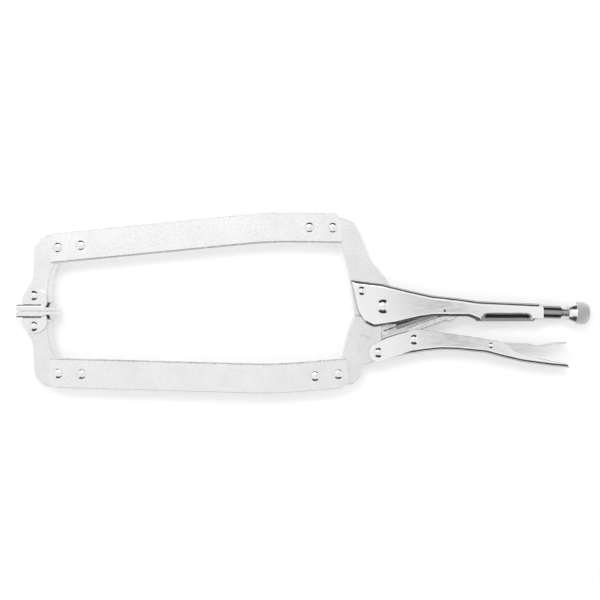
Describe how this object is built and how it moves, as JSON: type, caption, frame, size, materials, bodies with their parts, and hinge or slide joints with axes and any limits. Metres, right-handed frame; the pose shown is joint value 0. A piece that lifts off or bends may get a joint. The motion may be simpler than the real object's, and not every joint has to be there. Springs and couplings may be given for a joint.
{
  "type": "locking c clamp",
  "caption": "Long-reach locking C clamp with swivel pads, riveted twin bars, toggle handles, release lever and knurled adjusting knob.",
  "frame": {"origin": "centre of the fixed pad's clamping face", "axes": "+X runs from the pads towards the adjusting knob, +Y towards the fixed half of the frame, so the fixed pad's face looks along -Y, and +Z is square to the flat of the frame, up from the bench that the clamp lies on"},
  "size_m": [0.4567, 0.1434, 0.018],
  "materials": {
    "plated_bar": "satin nickel plate over a sheared and straightened blank",
    "plated_forging": "nickel plate over a tumbled forging",
    "polished_handle": "polished nickel plate",
    "plated_link": "nickel plate over a pressed part",
    "plated_pad": "nickel plate, lightly tumbled",
    "bright_rivet": "polished nickel plate",
    "screw_thread": "nickel plate over a rolled thread",
    "knurled_knob": "nickel plate over a knurled bar",
    "spring_wire": "drawn wire"
  },
  "bodies": {
    "fixed_frame": {"upper_handle": "polished_handle", "upper_jaw": "plated_forging", "upper_bar_front": "plated_bar", "upper_bar_back": "plated_bar", "upper_arm": "plated_forging", "upper_pad_pin": "bright_rivet", "upper_rivet_1": "bright_rivet", "upper_rivet_2": "bright_rivet", "upper_rivet_3": "bright_rivet", "upper_rivet_4": "bright_rivet", "jaw_rivet": "bright_rivet", "main_pivot_pin": "bright_rivet", "spring": "spring_wire"},
    "moving_frame": {"lower_jaw": "plated_forging", "lower_bar_front": "plated_bar", "lower_bar_back": "plated_bar", "lower_arm": "plated_forging", "lower_pad_pin": "bright_rivet", "lower_rivet_1": "bright_rivet", "lower_rivet_2": "bright_rivet", "lower_rivet_3": "bright_rivet", "lower_rivet_4": "bright_rivet", "handle_pin": "bright_rivet"},
    "squeeze_handle": {"lower_handle": "polished_handle", "link_pin": "bright_rivet", "release_pin": "bright_rivet"},
    "link": {"toggle_link": "plated_link"},
    "release": {"release_lever": "plated_link"},
    "fixed_foot": {"upper_pad": "plated_pad"},
    "moving_foot": {"lower_pad": "plated_pad"},
    "screw": {"adjusting_screw": "screw_thread"},
    "knob": {"adjusting_knob": "knurled_knob"}
  },
  "joints": [
    {"name": "jaw_pivot", "type": "hinge", "parent": "fixed_frame", "child": "moving_frame", "pos_m": [0.275, 0.0036, 0], "axis": [0, 0, 1], "range_deg": [0, 25], "deforming": ["spring"]},
    {"name": "handle_pivot", "type": "hinge", "parent": "moving_frame", "child": "squeeze_handle", "pos_m": [0.2713, -0.0331, 0], "axis": [0, 0, 1], "range_deg": [-57.5, 0]},
    {"name": "link_pivot", "type": "hinge", "parent": "squeeze_handle", "child": "link", "pos_m": [0.2996, -0.0228, 0], "axis": [0, 0, 1], "range_deg": [0, 71.25]},
    {"name": "release_pivot", "type": "hinge", "parent": "squeeze_handle", "child": "release", "pos_m": [0.3606, -0.0273, 0], "axis": [0, 0, 1], "range_deg": [-9, 0]},
    {"name": "fixed_foot_swivel", "type": "hinge", "parent": "fixed_frame", "child": "fixed_foot", "pos_m": [-0.0025, 0.0122, 0], "axis": [0, 0, 1], "range_deg": [0, 12.5]},
    {"name": "moving_foot_swivel", "type": "hinge", "parent": "moving_frame", "child": "moving_foot", "pos_m": [-0.0025, -0.0122, 0], "axis": [0, 0, 1], "range_deg": [-12.5, 0]},
    {"name": "screw_advance", "type": "slide", "parent": "fixed_frame", "child": "screw", "axis": [0.9994, -0.0349, 0], "range_m": [0, 0.015]},
    {"name": "knob_turn", "type": "hinge", "parent": "screw", "child": "knob", "pos_m": [0.3358, 0.0015, 0], "axis": [0.9994, -0.0349, 0], "range_deg": [0, 4320.1]}
  ],
  "couplings": [
    {"joint": "handle_pivot", "follows": "jaw_pivot", "ratio": -2.3},
    {"joint": "link_pivot", "follows": "jaw_pivot", "ratio": 2.85},
    {"joint": "fixed_foot_swivel", "follows": "jaw_pivot", "ratio": 0.5},
    {"joint": "moving_foot_swivel", "follows": "jaw_pivot", "ratio": -0.5},
    {"joint": "knob_turn", "follows": "screw_advance", "rad_per_m": 5026.5}
  ]
}
